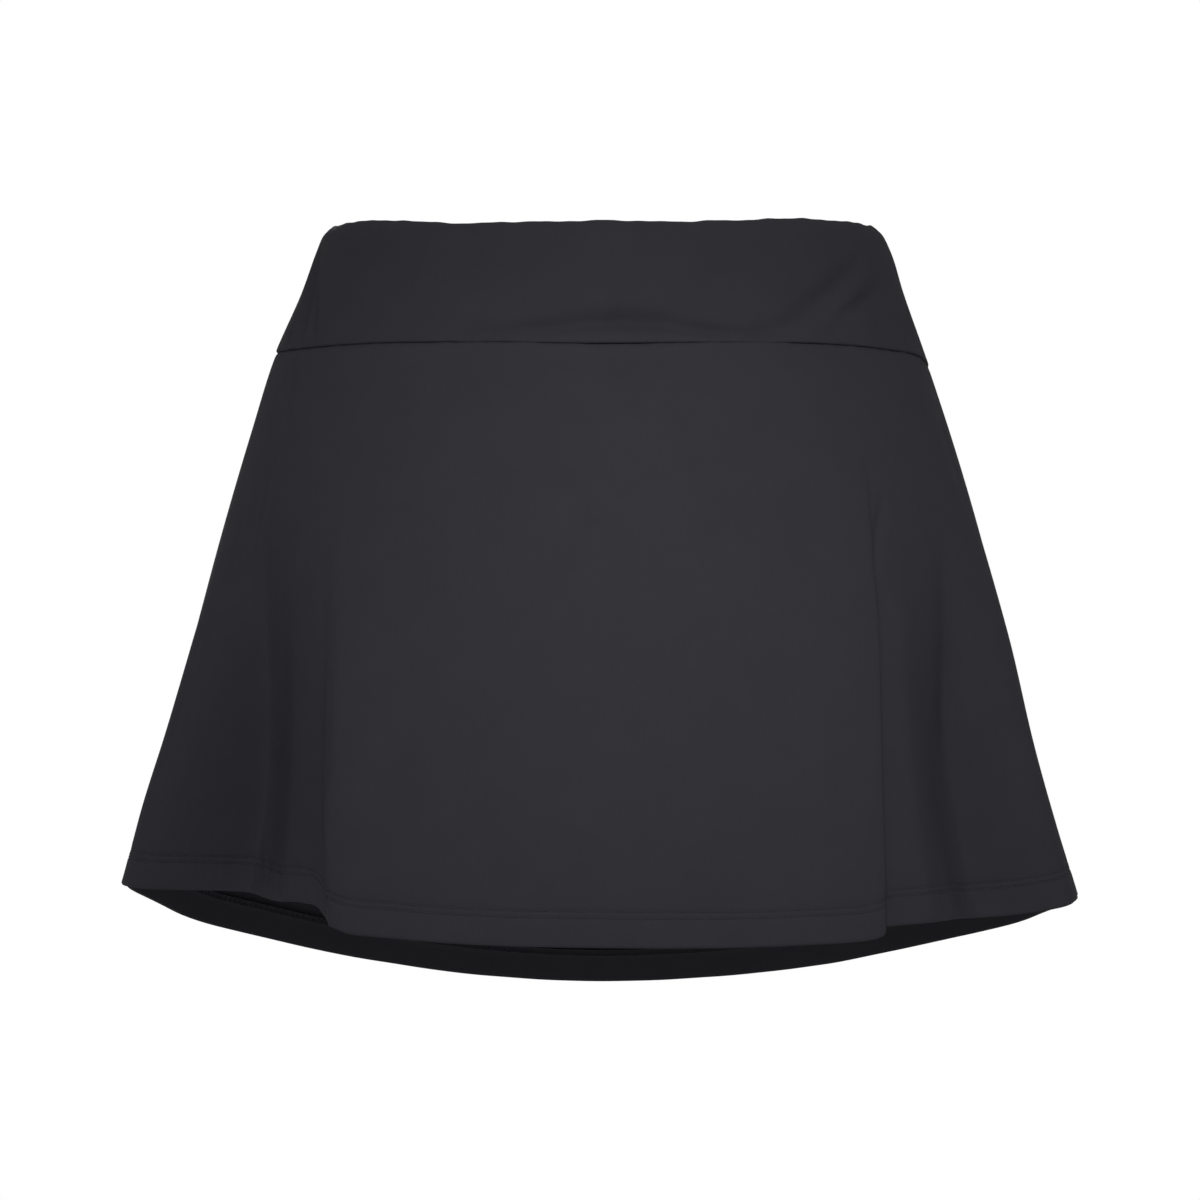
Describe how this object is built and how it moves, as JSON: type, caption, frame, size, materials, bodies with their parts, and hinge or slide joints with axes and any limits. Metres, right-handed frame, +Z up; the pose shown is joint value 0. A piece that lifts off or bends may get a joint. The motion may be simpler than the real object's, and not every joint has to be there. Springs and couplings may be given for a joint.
{
  "type": "tennis skort",
  "caption": "Flared knit tennis skort with a wide doubled waistband, longer at the back, over plain inner shorts, filled out and hollow.",
  "frame": {"origin": "centre of the waist opening, halfway up the waistband at the front", "axes": "+Z up out of the waist opening, -Y towards the garment's front, +X towards the right as the front is looked at"},
  "size_m": [0.4771, 0.3524, 0.3913],
  "materials": {
    "charcoal_knit_doubled": "matte charcoal interlock knit, doubled",
    "charcoal_knit": "matte charcoal interlock knit",
    "black_stretch_knit": "matte black stretch knit"
  },
  "bodies": {
    "root": {"waistband_front": "charcoal_knit_doubled", "waistband_back": "charcoal_knit_doubled", "skirt_front": "charcoal_knit", "skirt_back": "charcoal_knit", "shorts_left": "black_stretch_knit", "shorts_right": "black_stretch_knit"}
  },
  "joints": []
}
